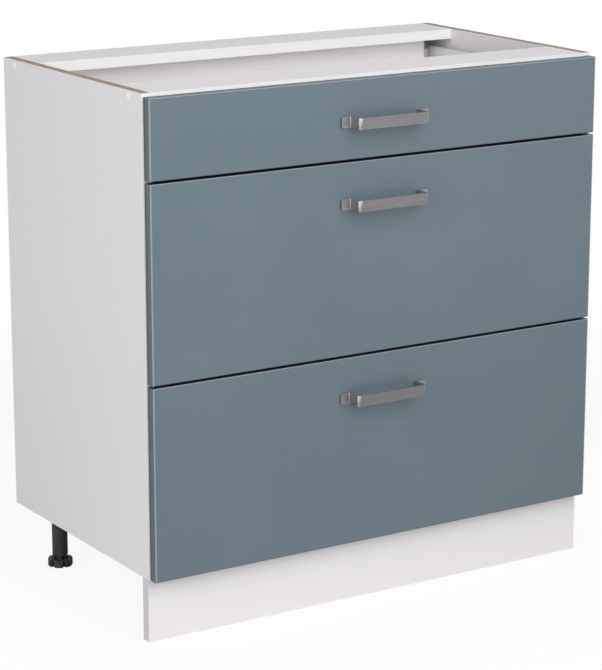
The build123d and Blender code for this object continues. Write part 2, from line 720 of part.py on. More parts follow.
def save_drawer(name):
    rail_channel = runner(name)
    save(f"runner_{name}_right", rail_channel)
    save(f"runner_{name}_left", mirrored(rail_channel))
    save(f"cabinet_rollers_{name}", *both_sides(cabinet_roller(name)))
    save(f"drawer_rollers_{name}", *both_sides(drawer_roller(name)))
    side = drawer_side(name)
    save(f"drawer_side_{name}_right", side)
    save(f"drawer_side_{name}_left", mirrored(side))
    save(f"drawer_bottom_{name}", drawer_bottom(name))
    save(f"drawer_back_{name}", drawer_back(name))
    save(f"front_brackets_{name}", *both_sides(front_bracket(name)))
    save(f"drawer_front_{name}", front(name))
    save(f"handle_{name}", handle(name))
    save(f"handle_screws_{name}", *both_sides(handle_screw(name)))
    if name in DEEP_DRAWERS:
        save(f"gallery_{name}", *both_sides(gallery(name)))


os.makedirs("parts", exist_ok=True)
save_carcass()
save_legs()
for drawer in FRONTS:
    save_drawer(drawer)
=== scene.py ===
import math

import bmesh
import bpy
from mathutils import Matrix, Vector


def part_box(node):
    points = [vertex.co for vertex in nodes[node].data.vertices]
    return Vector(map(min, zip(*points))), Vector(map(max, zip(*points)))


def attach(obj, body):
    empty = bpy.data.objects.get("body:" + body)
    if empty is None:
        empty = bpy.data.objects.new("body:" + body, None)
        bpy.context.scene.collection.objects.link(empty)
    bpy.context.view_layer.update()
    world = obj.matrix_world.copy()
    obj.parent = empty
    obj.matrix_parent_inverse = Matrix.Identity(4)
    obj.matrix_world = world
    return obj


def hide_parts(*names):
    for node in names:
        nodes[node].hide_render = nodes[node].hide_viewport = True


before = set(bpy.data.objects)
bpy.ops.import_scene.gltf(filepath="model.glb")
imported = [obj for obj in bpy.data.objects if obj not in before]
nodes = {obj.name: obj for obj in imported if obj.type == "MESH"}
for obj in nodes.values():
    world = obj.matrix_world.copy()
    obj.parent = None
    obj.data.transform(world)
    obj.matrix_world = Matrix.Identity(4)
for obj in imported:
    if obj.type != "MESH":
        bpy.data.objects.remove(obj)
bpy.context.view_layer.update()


# ------------------------------------------------------------- side panels
# Two full-height boards of chipboard under white melamine with a faint pearl
# grain. The front edge wears a white band; the sawn edges at the top, the foot
# and the rear were left raw.

WHITE = (0.800, 0.777, 0.798)
WHITE_SHADE = (0.784, 0.761, 0.782)
BAND_WHITE = (0.970, 0.960, 0.965)
CHIP_TAN = (0.415, 0.274, 0.162)
CHIP_BROWN = (0.158, 0.094, 0.052)
CHIPS = (420, 150, 420)
BLOTS = (140, 60, 140)
BLOT_WEIGHT = 0.7
CHIP_WEIGHT = 0.55
UPRIGHT_GRAIN = (160, 160, 9)
SKIN_GLOSS = 0.5
RAW_GLOSS = 0.1
MELAMINE_SKIN = 0.0009
BAND_DEPTH = 0.0008
BOARD_EASE = 0.0003
EASE_STEPS = 2
EASED_FROM = math.radians(40)  # an edge that turns by less stays as it is
OPEN_SEAM = 0.00001  # widest seam of a CAD piece's faces that is closed first
SQUARE_ON = 0.7  # least part of a face's normal along the axis that it faces


def shader_of(look):
    return look.node_tree.nodes["Principled BSDF"]


def finish(name, colour, roughness, metallic=0.0):
    """A new finish of one colour, ready for its pattern."""
    look = bpy.data.materials.new(name)
    look.use_nodes = True
    shader = shader_of(look)
    shader.inputs["Base Color"].default_value = (*colour, 1)
    shader.inputs["Roughness"].default_value = roughness
    shader.inputs["Metallic"].default_value = metallic
    return look


def add(look, kind):
    return look.node_tree.nodes.new(kind)


def join(look, source, target):
    look.node_tree.links.new(source, target)


def place(look):
    """Where a point of the surface lies on the cabinet."""
    return add(look, "ShaderNodeTexCoord").outputs["Object"]


def stretched(look, specks):
    """The same place, counted in specks to the metre, alike or for each of X, Y and Z."""
    lay = add(look, "ShaderNodeMapping")
    lay.inputs["Scale"].default_value = specks if isinstance(specks, tuple) else (specks,) * 3
    join(look, place(look), lay.inputs["Vector"])
    return lay.outputs["Vector"]


def mottle(look, specks, detail=3.0):
    """Noise through the piece, with so many specks to the metre."""
    noise = add(look, "ShaderNodeTexNoise")
    noise.inputs["Scale"].default_value = 1.0
    noise.inputs["Detail"].default_value = detail
    join(look, stretched(look, specks), noise.inputs["Vector"])
    return noise.outputs["Fac"]


def mix_colours(look, share, first, second):
    """From the first colour to the second as the share goes from 0 to 1."""
    mix = add(look, "ShaderNodeMix")
    mix.data_type = "RGBA"
    join(look, share, mix.inputs["Factor"])
    for end, colour in (("A", first), ("B", second)):
        socket = next(s for s in mix.inputs if s.name == end and s.type == "RGBA")
        if isinstance(colour, tuple):
            socket.default_value = (*colour, 1)
        else:
            join(look, colour, socket)
    return next(s for s in mix.outputs if s.type == "RGBA")


def spread(look, share, low, high, start=0.35, end=0.65):
    """A number from low to high, as the share goes from start to end.

    A start and an end of their own suit a place or a mask. As they are, they suit
    noise, which seldom leaves them.
    """
    span = add(look, "ShaderNodeMapRange")
    span.inputs["From Min"].default_value = start
    span.inputs["From Max"].default_value = end
    span.inputs["To Min"].default_value = low
    span.inputs["To Max"].default_value = high
    join(look, share, span.inputs["Value"])
    return span.outputs["Result"]


def work_out(look, rule, first, second=None):
    """One step of arithmetic on two values, of which the second may be a number."""
    step = add(look, "ShaderNodeMath")
    step.operation = rule
    join(look, first, step.inputs[0])
    if isinstance(second, (int, float)):
        step.inputs[1].default_value = second
    elif second is not None:
        join(look, second, step.inputs[1])
    return step.outputs["Value"]


def axis_parts(look, vector):
    """The X, Y and Z of a vector."""
    parts = add(look, "ShaderNodeSeparateXYZ")
    join(look, vector, parts.inputs["Vector"])
    return parts.outputs


def facing(look):
    """The X, Y and Z of the direction that the surface faces."""
    return axis_parts(look, add(look, "ShaderNodeNewGeometry").outputs["Normal"])


def faces_front(look):
    return work_out(look, "LESS_THAN", facing(look)["Y"], -SQUARE_ON)


def faces_rear(look):
    return work_out(look, "GREATER_THAN", facing(look)["Y"], SQUARE_ON)


def faces_sideways(look):
    return work_out(look, "GREATER_THAN", work_out(look, "ABSOLUTE", facing(look)["X"]), SQUARE_ON)


def faces_up_or_down(look):
    return work_out(look, "GREATER_THAN", work_out(look, "ABSOLUTE", facing(look)["Z"]), SQUARE_ON)


def between_skins(look, depth, low, high):
    """Where a board is bare chipboard, at a depth between its skins at low and high."""
    from_middle = work_out(look, "ABSOLUTE", work_out(look, "SUBTRACT", depth, (low + high) / 2))
    return work_out(look, "LESS_THAN", from_middle, (high - low) / 2 - MELAMINE_SKIN)


def paint(look, colour):
    join(look, colour, shader_of(look).inputs["Base Color"])


def tint(look, first, second, specks, detail=3.0):
    """Clouds of two close tones."""
    return mix_colours(look, spread(look, mottle(look, specks, detail), 0, 1), first, second)


def gloss(look, share, low, high):
    """Specular level that goes from low to high as the share goes from 0 to 1."""
    join(look, spread(look, share, low, high, 0, 1), shader_of(look).inputs["Specular IOR Level"])


def shine(look, specks, smoothest, dullest, detail=3.0):
    """Roughness that wanders between two levels."""
    level = spread(look, mottle(look, specks, detail), smoothest, dullest)
    join(look, level, shader_of(look).inputs["Roughness"])


def relief(look, specks, height, detail=3.0):
    """Fine relief over the surface, as high as a length in metres."""
    bump = add(look, "ShaderNodeBump")
    bump.inputs["Distance"].default_value = height
    join(look, mottle(look, specks, detail), bump.inputs["Height"])
    join(look, bump.outputs["Normal"], shader_of(look).inputs["Normal"])


def chipboard(look):
    """Colour of sawn chipboard: flat chips of many shades, with darker blots."""
    chips = add(look, "ShaderNodeTexVoronoi")
    chips.inputs["Scale"].default_value = 1.0
    join(look, stretched(look, CHIPS), chips.inputs["Vector"])
    shade = axis_parts(look, chips.outputs["Color"])["X"]
    blot = spread(look, mottle(look, BLOTS, detail=6.0), 0, BLOT_WEIGHT)
    share = work_out(look, "MULTIPLY", work_out(look, "ADD", shade, blot), CHIP_WEIGHT)
    return mix_colours(look, share, CHIP_TAN, CHIP_BROWN)


def melamine(name, grain, raw_mask, front=None, ends=None, tones=(WHITE, WHITE_SHADE)):
    """White melamine in two close tones, whose grain runs along one axis.

    What faces forward or to the sides may have a colour of its own, such as that
    of an edge band. The mask says where the board is raw, and so nearly matt.
    """
    look = finish(name, tones[0], roughness=0.42)
    skin = tint(look, *tones, specks=grain, detail=5.0)
    if front is not None:
        skin = mix_colours(look, faces_front(look), skin, front)
    if ends is not None:
        skin = mix_colours(look, faces_sideways(look), skin, ends)
    raw = raw_mask(look)
    paint(look, mix_colours(look, raw, skin, chipboard(look)))
    gloss(look, raw, SKIN_GLOSS, RAW_GLOSS)
    shine(look, specks=900, smoothest=0.38, dullest=0.50)
    relief(look, specks=1400, height=0.00002)
    return look


def raw_upright_edges(look):
    """Where a side panel is raw: its top, foot and rear edge, between the skins."""
    low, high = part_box("side_panel_right")
    spot = axis_parts(look, place(look))
    sawn = work_out(look, "MAXIMUM", faces_up_or_down(look), faces_rear(look))
    core = between_skins(look, work_out(look, "ABSOLUTE", spot["X"]), low.x, high.x)
    behind_band = work_out(look, "GREATER_THAN", spot["Y"], low.y + BAND_DEPTH)
    return work_out(look, "MULTIPLY", work_out(look, "MULTIPLY", sawn, core), behind_band)


def dress(look, *names):
    """Give CAD pieces their finish."""
    for name in names:
        nodes[name].material_slots[0].material = look


def ease(width, *names):
    """Take the sharpness off the edges of CAD pieces."""
    for name in names:
        weld = nodes[name].modifiers.new("closed_seams", "WELD")
        weld.merge_threshold = OPEN_SEAM
        bevel = nodes[name].modifiers.new("eased_edges", "BEVEL")
        bevel.width = width
        bevel.segments = EASE_STEPS
        bevel.limit_method = "ANGLE"
        bevel.angle_limit = EASED_FROM
        bevel.harden_normals = True


side_look = melamine("side_melamine", UPRIGHT_GRAIN, raw_upright_edges, BAND_WHITE)
dress(side_look, "side_panel_left", "side_panel_right")
ease(BOARD_EASE, "side_panel_left", "side_panel_right")


# ------------------------------------------------- bottom panel and rails
# The same board cut across: the bottom rests on dowels between the sides, and
# two flat rails tie them at the top. Front edges are banded, rear ones are raw.

CROSS_GRAIN = (9, 160, 160)

cross_look = melamine("cross_melamine", CROSS_GRAIN, faces_rear, BAND_WHITE)
dress(cross_look, "bottom_panel", "front_rail", "rear_rail")
ease(BOARD_EASE, "bottom_panel", "front_rail", "rear_rail")


# -------------------------------------------------------------- back panel
# Thin hardboard in grooves of the four boards: painted white inside, bare and
# brown behind, where the press left the weave of its screen.

HARDBOARD = (0.270, 0.165, 0.095)
HARDBOARD_LIGHT = (0.360, 0.235, 0.145)
PAINTED_SIDE = -0.5  # the normal's Y, below which a face is the painted one
PAINT_ROUGHNESS = 0.5
BARE_ROUGHNESS = 0.8

back_look = finish("hardboard", WHITE, roughness=0.55)
fibres = mix_colours(back_look, mottle(back_look, 300, detail=8.0), HARDBOARD, HARDBOARD_LIGHT)
painted = mix_colours(back_look, mottle(back_look, 40), WHITE, WHITE_SHADE)
bare = work_out(back_look, "GREATER_THAN", facing(back_look)["Y"], PAINTED_SIDE)
dullness = spread(back_look, bare, PAINT_ROUGHNESS, BARE_ROUGHNESS, 0, 1)
paint(back_look, mix_colours(back_look, bare, painted, fibres))
join(back_look, dullness, shader_of(back_look).inputs["Roughness"])
relief(back_look, specks=700, height=0.00006)
dress(back_look, "back_panel")


# ------------------------------------------------- dowels, screws and caps
# Beech dowels and long steel screws hold the boards. The screws' heads lie under
# four round white caps, low-crowned and pressed into shallow bores until flush.

BEECH = (0.600, 0.430, 0.260)
BEECH_DARK = (0.450, 0.300, 0.170)
BEECH_GRAIN = (60, 900, 900)
ZINC = (0.620, 0.630, 0.650)
CAP_WHITE = (0.930, 0.930, 0.930)
CAP_DEPTH = 0.0025
CAP_SHOULDER = 0.0004
SHOULDER_STEPS = 4
CAP_CROWN = 0.0006
CROWN_STEPS = 6

beech_look = finish("beech", BEECH, roughness=0.6)
paint(beech_look, mix_colours(beech_look, mottle(beech_look, BEECH_GRAIN, detail=4.0), BEECH, BEECH_DARK))
relief(beech_look, specks=BEECH_GRAIN, height=0.0001)
dress(beech_look, "dowels")

zinc_look = finish("zinc_plating", ZINC, roughness=0.34, metallic=1.0)
shine(zinc_look, specks=500, smoothest=0.26, dullest=0.44, detail=5.0)
relief(zinc_look, specks=900, height=0.00002)
dress(zinc_look, "rail_screws")

cap_look = finish("cap_plastic", CAP_WHITE, roughness=0.35)
shine(cap_look, specks=300, smoothest=0.30, dullest=0.42)
relief(cap_look, specks=1200, height=0.00001)


def skin_loops(mesh, loops):
    """Join stacked loops of points, which have as many points each, with faces."""
    for low, high in zip(loops, loops[1:]):
        for step in range(len(low)):
            after = (step + 1) % len(low)
            mesh.faces.new((low[step], low[after], high[after], high[step]))


def close_ends(mesh, loops):
    mesh.faces.new(list(reversed(loops[0])))
    mesh.faces.new(loops[-1])


def turn(mesh, rings, start, direction, sides=48, hollow=False):
    """Add a solid of rings stacked from a point along a direction.

    Each ring is (radius, height); a radius may be a function of the angle round
    the axis. A hollow solid's last ring closes on its first.
    """
    lean = Vector(direction).to_track_quat("Z", "X").to_matrix()
    loops = []
    for radius, height in rings:
        loop = []
        for step in range(sides):
            angle = math.tau * step / sides
            reach = radius(angle) if callable(radius) else radius
            spot = Vector((reach * math.cos(angle), reach * math.sin(angle), height))
            loop.append(mesh.verts.new(Vector(start) + lean @ spot))
        loops.append(loop)
    if hollow:
        loops.append(loops[0])
    else:
        close_ends(mesh, loops)
    skin_loops(mesh, loops)


def piece(name, mesh, look, body, sharp=40):
    """The finished mesh as a piece that rides on a body.

    Edges stay sharp from an angle in degrees, and faces are smooth across the rest.
    """
    bmesh.ops.recalc_face_normals(mesh, faces=mesh.faces[:])
    data = bpy.data.meshes.new(name)
    mesh.to_mesh(data)
    mesh.free()
    for face in data.polygons:
        face.use_smooth = True
    data.set_sharp_from_angle(angle=math.radians(sharp))
    data.materials.append(look)
    made = bpy.data.objects.new(name, data)
    bpy.context.scene.collection.objects.link(made)
    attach(made, body)
    return made


def cap_rings(radius):
    """A cap from its foot to its face: a rounded shoulder and a low crown."""
    rings = [(radius, -CAP_DEPTH)]
    for step in range(SHOULDER_STEPS + 1):
        angle = math.pi / 2 * step / SHOULDER_STEPS
        inward = CAP_SHOULDER * (1 - math.cos(angle))
        rings.append((radius - inward, CAP_SHOULDER * (math.sin(angle) - 1) - CAP_CROWN))
    for step in range(1, CROWN_STEPS):
        reach = 1 - step / CROWN_STEPS
        rings.append(((radius - CAP_SHOULDER) * reach, -CAP_CROWN * reach ** 2))
    return rings


cap_low, cap_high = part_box("screw_caps")
cap_radius = (cap_high.z - cap_low.z) / 2
caps = bmesh.new()
for side in (-1, 1):
    for y in (cap_low.y + cap_radius, cap_high.y - cap_radius):
        start = (side * cap_high.x, y, cap_low.z + cap_radius)
        turn(caps, cap_rings(cap_radius), start, (side, 0, 0))
caps = piece("screw_cap_discs", caps, cap_look, "carcass", sharp=25)
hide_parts("screw_caps")


# ------------------------------------------------------------ legs and feet
# Black moulded legs: a ribbed socket screwed under each corner, a tube with two
# fine rings and six slots at its end, and a lobed foot that is turned by hand on a
# coarse thread.

BLACK = (0.042, 0.040, 0.042)
BLACK_LIGHT = (0.052, 0.049, 0.052)
BLACK_GLOSS = 0.25
SOCKET_EASE = 0.0005
RING_HEIGHTS = (0.024, 0.028)
RING_DEPTH = 0.0003
RING_WIDTH = 0.0012
TUBE_EASE = 0.0006
TUBE_SLOT_TURN = math.radians(33)
TUBE_SLOT_HALF_ANGLE = math.radians(19)
TUBE_SLOT_DEPTH = 0.0045
TUBE_SLOT_TOP = 0.0178
FOOT_LOBES = 6
FOOT_TURN = math.radians(-6)
LOBE_REACH = 0.0198
NOTCH_DEPTH = 0.0048
NOTCH_HALF_ANGLE = math.radians(10)
FOOT_HEIGHT = 0.012
FOOT_WELL_FLOOR = 0.003
FOOT_WELL = 0.0134
FOOT_EASE = 0.0009
STEM_RADIUS = 0.005
STEM_TOP = 0.052
THREAD_PITCH = 0.003
THREAD_DEPTH = 0.0007
THREAD_CREST = 0.25  # width of the thread's crest, in pitches
THREAD_FLANK = 0.25  # width of each of its flanks, in pitches
CORNERS = ("front_left", "front_right", "rear_left", "rear_right")

black_look = finish("black_plastic", BLACK, roughness=0.45)
paint(black_look, tint(black_look, BLACK, BLACK_LIGHT, specks=(90, 90, 30), detail=4.0))
shine(black_look, specks=600, smoothest=0.45, dullest=0.60)
shader_of(black_look).inputs["Specular IOR Level"].default_value = BLACK_GLOSS
relief(black_look, specks=1500, height=0.00003)
dress(black_look, "leg_plates", "leg_tubes", "plinth_clips", *(f"foot_{corner}" for corner in CORNERS))
ease(SOCKET_EASE, "leg_plates", "plinth_clips")


def middle_of(name):
    low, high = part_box(name)
    return (low + high) / 2


def from_lobe(angle, turned):
    """Angle from the nearest of six spots round an axis, of which one is so far turned."""
    sector = math.tau / FOOT_LOBES
    return abs((angle - turned + sector / 2) % sector - sector / 2)


def slotted(radius):
    """Outline of the tube's end, where six short slots are cut."""
    def reach(angle):
        in_slot = from_lobe(angle, TUBE_SLOT_TURN) < TUBE_SLOT_HALF_ANGLE
        return radius - TUBE_SLOT_DEPTH if in_slot else radius
    return reach


def tube_rings(radius, low, high):
    """A leg's tube with a slotted lower end and two rings cut round it."""
    rings = [
        (STEM_RADIUS, low),
        (slotted(radius - TUBE_EASE), low),
        (slotted(radius), low + TUBE_EASE),
        (slotted(radius), TUBE_SLOT_TOP),
        (radius, TUBE_SLOT_TOP + TUBE_EASE),
    ]
    for z in RING_HEIGHTS:
        half = RING_WIDTH / 2
        rings += [
            (radius, z - half),
            (radius - RING_DEPTH, z - half / 2),
            (radius - RING_DEPTH, z + half / 2),
            (radius, z + half),
        ]
    return [*rings, (radius, high), (STEM_RADIUS, high)]


def lobed(inset):
    """Outline of the foot's rim, drawn in by an inset, round its axis."""
    def reach(angle):
        from_notch = math.pi / FOOT_LOBES - from_lobe(angle, FOOT_TURN)
        depth = 0.0
        if from_notch < NOTCH_HALF_ANGLE:
            depth = NOTCH_DEPTH * math.sqrt(math.cos(math.pi / 2 * from_notch / NOTCH_HALF_ANGLE))
        return LOBE_REACH - depth - inset
    return reach


def foot_rings():
    """The foot from its well over the rim and down to the lobes that stand on the floor."""
    return [
        (STEM_RADIUS, FOOT_WELL_FLOOR),
        (FOOT_WELL, FOOT_WELL_FLOOR),
        (FOOT_WELL, FOOT_HEIGHT - FOOT_EASE / 2),
        (FOOT_WELL + FOOT_EASE / 2, FOOT_HEIGHT),
        (lobed(FOOT_EASE), FOOT_HEIGHT),
        (lobed(FOOT_EASE / 3), FOOT_HEIGHT - FOOT_EASE / 3),
        (lobed(0), FOOT_HEIGHT - FOOT_EASE),
        (lobed(0), FOOT_EASE / 2),
        (lobed(FOOT_EASE / 2), 0),
        (STEM_RADIUS, 0),
    ]


def groove(z, turned):
    """Depth of the thread's groove at a height and a share of a turn round the stem."""
    from_crest = abs((z / THREAD_PITCH - turned) % 1 - 0.5)
    return THREAD_DEPTH * min(1, max(0, (from_crest - THREAD_CREST / 2) / THREAD_FLANK))


def thread(mesh, spot, low, high, sides=24, rows_to_a_turn=6):
    """A coarse helical thread between two heights, as one closed solid."""
    loops = []
    rows = round((high - low) / THREAD_PITCH * rows_to_a_turn)
    for row in range(rows + 1):
        z = low + (high - low) * row / rows
        loop = []
        for side in range(sides):
            reach = STEM_RADIUS - groove(z, side / sides)
            angle = math.tau * side / sides
            x = spot.x + reach * math.cos(angle)
            y = spot.y + reach * math.sin(angle)
            loop.append(mesh.verts.new((x, y, z)))
        loops.append(loop)
    close_ends(mesh, loops)
    skin_loops(mesh, loops)


tube_low, tube_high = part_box("leg_tubes")
leg_radius = tube_high.x - middle_of("foot_front_right").x
tubes = bmesh.new()
for corner in CORNERS:
    spot = middle_of(f"foot_{corner}")
    rings = tube_rings(leg_radius, tube_low.z, tube_high.z)
    turn(tubes, rings, (spot.x, spot.y, 0), (0, 0, 1), sides=120, hollow=True)
tubes = piece("leg_tube_ringed", tubes, black_look, "carcass", sharp=20)
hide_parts("leg_tubes")

for corner in CORNERS:
    spot = middle_of(f"foot_{corner}")
    foot = bmesh.new()
    turn(foot, foot_rings(), (spot.x, spot.y, 0), (0, 0, 1), sides=180, hollow=True)
    thread(foot, spot, 0, STEM_TOP)
    foot = piece(f"lobed_foot_{corner}", foot, black_look, f"foot_{corner}")
    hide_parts(f"foot_{corner}")


# ------------------------------------------------------------------ plinth
# A loose board of white melamine in front of the legs, held by two black spring
# clips. Both ends are banded, and its top and foot are raw.

PLINTH_WHITE = (0.870, 0.838, 0.846)
PLINTH_END = (0.630, 0.610, 0.628)


def raw_long_edges(look):
    low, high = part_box("plinth_board")
    core = between_skins(look, axis_parts(look, place(look))["Y"], low.y, high.y)
    return work_out(look, "MULTIPLY", faces_up_or_down(look), core)


plinth_look = melamine("plinth_melamine", CROSS_GRAIN, raw_long_edges, PLINTH_WHITE, PLINTH_END)
dress(plinth_look, "plinth_board")
ease(BOARD_EASE, "plinth_board")


# ----------------------------------------------- runners and their rollers
# Folded steel channels, powder-coated white, screwed to the sides three times
# each. A nylon roller turns on a riveted axle near the front of each.

DRAWERS = ("top", "middle", "bottom")
SIDES = ("left", "right")
COAT = (0.780, 0.780, 0.775)
COAT_SHADE = (0.745, 0.745, 0.742)
NYLON = (0.740, 0.735, 0.715)
NYLON_SHADE = (0.660, 0.655, 0.630)
ROLLER_WIDTH = 0.007
AXLE_RADIUS = 0.0031
ROLLER_EASE = 0.0008
ROLLER_HUB = 0.0055
ROLLER_DISH = 0.0008
SHEET = 0.0012
SHEET_EASE = 0.0003
SCREW_PLACES = (0.037, 0.261, 0.357)  # behind the front edges of the sides
SCREW_RISE = 0.0195
SCREW_RADIUS = 0.0031
SCREW_HEAD = 0.0006
HEAD_DOME = ((1.00, 0.00), (0.98, 0.45), (0.85, 0.80), (0.66, 1.00))  # shares of radius and height
HEAD_RECESS = ((0.58, 1.00), (0.42, 0.30))
CROSS_HEART = 0.28  # reach of the recess between its arms, as a share of theirs

coat_look = finish("white_powder_coat", COAT, roughness=0.4)
paint(coat_look, tint(coat_look, COAT, COAT_SHADE, specks=25))
shine(coat_look, specks=500, smoothest=0.34, dullest=0.48)
relief(coat_look, specks=1100, height=0.00003)

nylon_look = finish("nylon", NYLON, roughness=0.45)
paint(nylon_look, tint(nylon_look, NYLON, NYLON_SHADE, specks=250, detail=5.0))
shine(nylon_look, specks=700, smoothest=0.38, dullest=0.55)
relief(nylon_look, specks=(1600, 40, 1600), height=0.00004)


def roller_rings(radius, width, bore):
    """A roller with eased treads, and a dish in both faces round its hub."""
    half = width / 2
    face = [
        (bore, half),
        (ROLLER_HUB, half),
        (ROLLER_HUB + ROLLER_DISH, half - ROLLER_DISH),
        (radius - 3 * ROLLER_DISH, half - ROLLER_DISH),
        (radius - 2 * ROLLER_DISH, half),
        (radius - ROLLER_EASE, half),
        (radius, half - ROLLER_EASE),
    ]
    return [(reach, -height) for reach, height in face] + face[::-1]


def roller_pair(node):
    """Smooth rollers for both sides in place of a pair of faceted ones."""
    low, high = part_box(node)
    radius = (high.z - low.z) / 2
    rings = roller_rings(radius, ROLLER_WIDTH, AXLE_RADIUS)
    mesh = bmesh.new()
    for side in (-1, 1):
        start = (side * (high.x - ROLLER_WIDTH / 2), (low.y + high.y) / 2, (low.z + high.z) / 2)
        turn(mesh, rings, start, (1, 0, 0), sides=56, hollow=True)
    made = piece(f"{node}_nylon", mesh, nylon_look, node, sharp=25)
    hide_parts(node)


def crossed(radius):
    """Outline of a cross-shaped recess with four blunt arms."""
    def reach(angle):
        arm = abs(math.cos(2 * angle)) ** 3
        return radius * (CROSS_HEART + (1 - CROSS_HEART) * arm)
    return reach


def screw_head(mesh, start, direction):
    """A low domed head with a cross recess, standing on a face."""
    dome = [(SCREW_RADIUS * reach, SCREW_HEAD * rise) for reach, rise in HEAD_DOME]
    recess = [(crossed(SCREW_RADIUS * reach), SCREW_HEAD * rise) for reach, rise in HEAD_RECESS]
    turn(mesh, dome + recess, start, direction)


for drawer in DRAWERS:
    channels = [f"runner_{drawer}_{side}" for side in SIDES]
    dress(coat_look, *channels)
    ease(SHEET_EASE, *channels)
    roller_pair(f"cabinet_rollers_{drawer}")

side_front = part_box("side_panel_right")[0].y
runner_screws = bmesh.new()
for drawer in DRAWERS:
    runner_low, runner_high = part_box(f"runner_{drawer}_right")
    for side in (-1, 1):
        for back in SCREW_PLACES:
            start = (side * (runner_high.x - SHEET), side_front + back, runner_low.z + SCREW_RISE)
            screw_head(runner_screws, start, (-side, 0, 0))
piece("runner_screw_heads", runner_screws, zinc_look, "carcass")


# ------------------------------------------------------------ drawer boxes
# Folded steel sides with a turned-out top edge, a rear roller each, and a bottom
# and back of white board. Deep drawers carry a round gallery rod on each side.

# a brighter copy of the carcass's white, as painted light in the shaded inside of the drawers
DRAWER_LIT_TONES = ((0.900, 0.876, 0.884), (0.880, 0.857, 0.865))
DEEP_DRAWERS = ("middle", "bottom")
ROD_EASE = 0.0008


def raw_ends_and_rear(look):
    return work_out(look, "MAXIMUM", faces_sideways(look), faces_rear(look))


bottom_look = melamine("drawer_bottom_melamine", CROSS_GRAIN, raw_ends_and_rear, tones=DRAWER_LIT_TONES)
rear_look = melamine("drawer_back_melamine", CROSS_GRAIN, faces_sideways, tones=DRAWER_LIT_TONES)
for drawer in DRAWERS:
    walls = [f"drawer_side_{drawer}_{side}" for side in SIDES]
    dress(coat_look, *walls)
    ease(SHEET_EASE, *walls)
    dress(bottom_look, f"drawer_bottom_{drawer}")
    dress(rear_look, f"drawer_back_{drawer}")
    ease(BOARD_EASE, f"drawer_bottom_{drawer}", f"drawer_back_{drawer}")
    dress(zinc_look, f"front_brackets_{drawer}", f"handle_screws_{drawer}")
    ease(SHEET_EASE, f"front_brackets_{drawer}")
    roller_pair(f"drawer_rollers_{drawer}")
for drawer in DEEP_DRAWERS:
    dress(coat_look, f"gallery_{drawer}")
    ease(ROD_EASE, f"gallery_{drawer}")


# ------------------------------------------------------------------ fronts
# Boards lacquered slate blue on all sides, satin, with softened face edges that carry a
# painted highlight in a paler colour. The edges all round are duller, and their colours are
# painted shade: darker ends that deepen to a painted shadow towards the back, and dark tops
# and feet where the gaps between the fronts lie in shade. The fronts close on small soft
# pads stuck to the front edges of the sides.

SLATE = (0.122, 0.172, 0.203)
SLATE_LIGHT = (0.132, 0.184, 0.214)
# painted shade on the ends, darker and greyer than the face
SLATE_END_SHADE = (0.118, 0.150, 0.165)
# painted shadow of the gap behind the fronts, at the back of their ends
SLATE_SEAM_SHADOW = (0.060, 0.085, 0.092)
# painted shade on the tops and feet, which lie in the gaps between the fronts
SLATE_GAP_SHADE = (0.045, 0.052, 0.068)
# painted highlight along the rounded face edges, and in a narrow band at the ends
SLATE_RIM_HIGHLIGHT = (0.270, 0.325, 0.360)
RIM_HIGHLIGHT_WIDTH = 0.0022
SEAM_SHADOW_WIDTH = 0.0090
FLAT_EDGE = 0.93  # least part of a face's normal along an axis, on a flat edge
ROUNDED_EDGE = 0.3  # and on a rounded one
FACE_GLOSS = 0.5
EDGE_GLOSS = 0.15
PAD = (0.780, 0.780, 0.760)


def front_edges(look, face):
    """Where a front has its edges, and its colour: face, painted rim highlight, ends in painted shade
    deepening to a painted shadow towards the back, and painted shade on top and foot.
    """
    normal = facing(look)
    spot = axis_parts(look, place(look))
    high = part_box("drawer_front_top")[1]
    outward = work_out(look, "ABSOLUTE", normal["X"])
    on_end = work_out(look, "GREATER_THAN", outward, FLAT_EDGE)
    on_top = work_out(look, "GREATER_THAN", normal["Z"], FLAT_EDGE)
    on_foot = work_out(look, "LESS_THAN", normal["Z"], -ROUNDED_EDGE)
    near_end = work_out(look, "GREATER_THAN", work_out(look, "ABSOLUTE", spot["X"]), high.x - RIM_HIGHLIGHT_WIDTH)
    turning = work_out(look, "MAXIMUM", outward, normal["Z"])
    rounded = work_out(look, "GREATER_THAN", turning, ROUNDED_EDGE)
    behind = spread(look, spot["Y"], 0, 1, high.y - SEAM_SHADOW_WIDTH, high.y)
    # painted highlight along the rounded face edges and near the ends
    colour = mix_colours(look, work_out(look, "MAXIMUM", near_end, rounded), face, SLATE_RIM_HIGHLIGHT)
    # the ends in painted shade, deepening to a painted shadow towards the back
    colour = mix_colours(look, on_end, colour, mix_colours(look, behind, SLATE_END_SHADE, SLATE_SEAM_SHADOW))
    flat = work_out(look, "MAXIMUM", on_top, on_foot)
    # painted shade on the tops and feet
    return work_out(look, "MAXIMUM", on_end, flat), mix_colours(look, flat, colour, SLATE_GAP_SHADE)


lacquer_look = finish("slate_lacquer", SLATE, roughness=0.34)
slate = tint(lacquer_look, SLATE, SLATE_LIGHT, specks=6, detail=5.0)
on_edge, slate = front_edges(lacquer_look, slate)
paint(lacquer_look, slate)
gloss(lacquer_look, on_edge, FACE_GLOSS, EDGE_GLOSS)
shine(lacquer_look, specks=120, smoothest=0.31, dullest=0.38)
relief(lacquer_look, specks=260, height=0.00001, detail=1.0)
dress(lacquer_look, *(f"drawer_front_{drawer}" for drawer in DRAWERS))

pad_look = finish("soft_pad", PAD, roughness=0.25)
shine(pad_look, specks=400, smoothest=0.2, dullest=0.35)
relief(pad_look, specks=900, height=0.00002)
dress(pad_look, "front_bumpers")


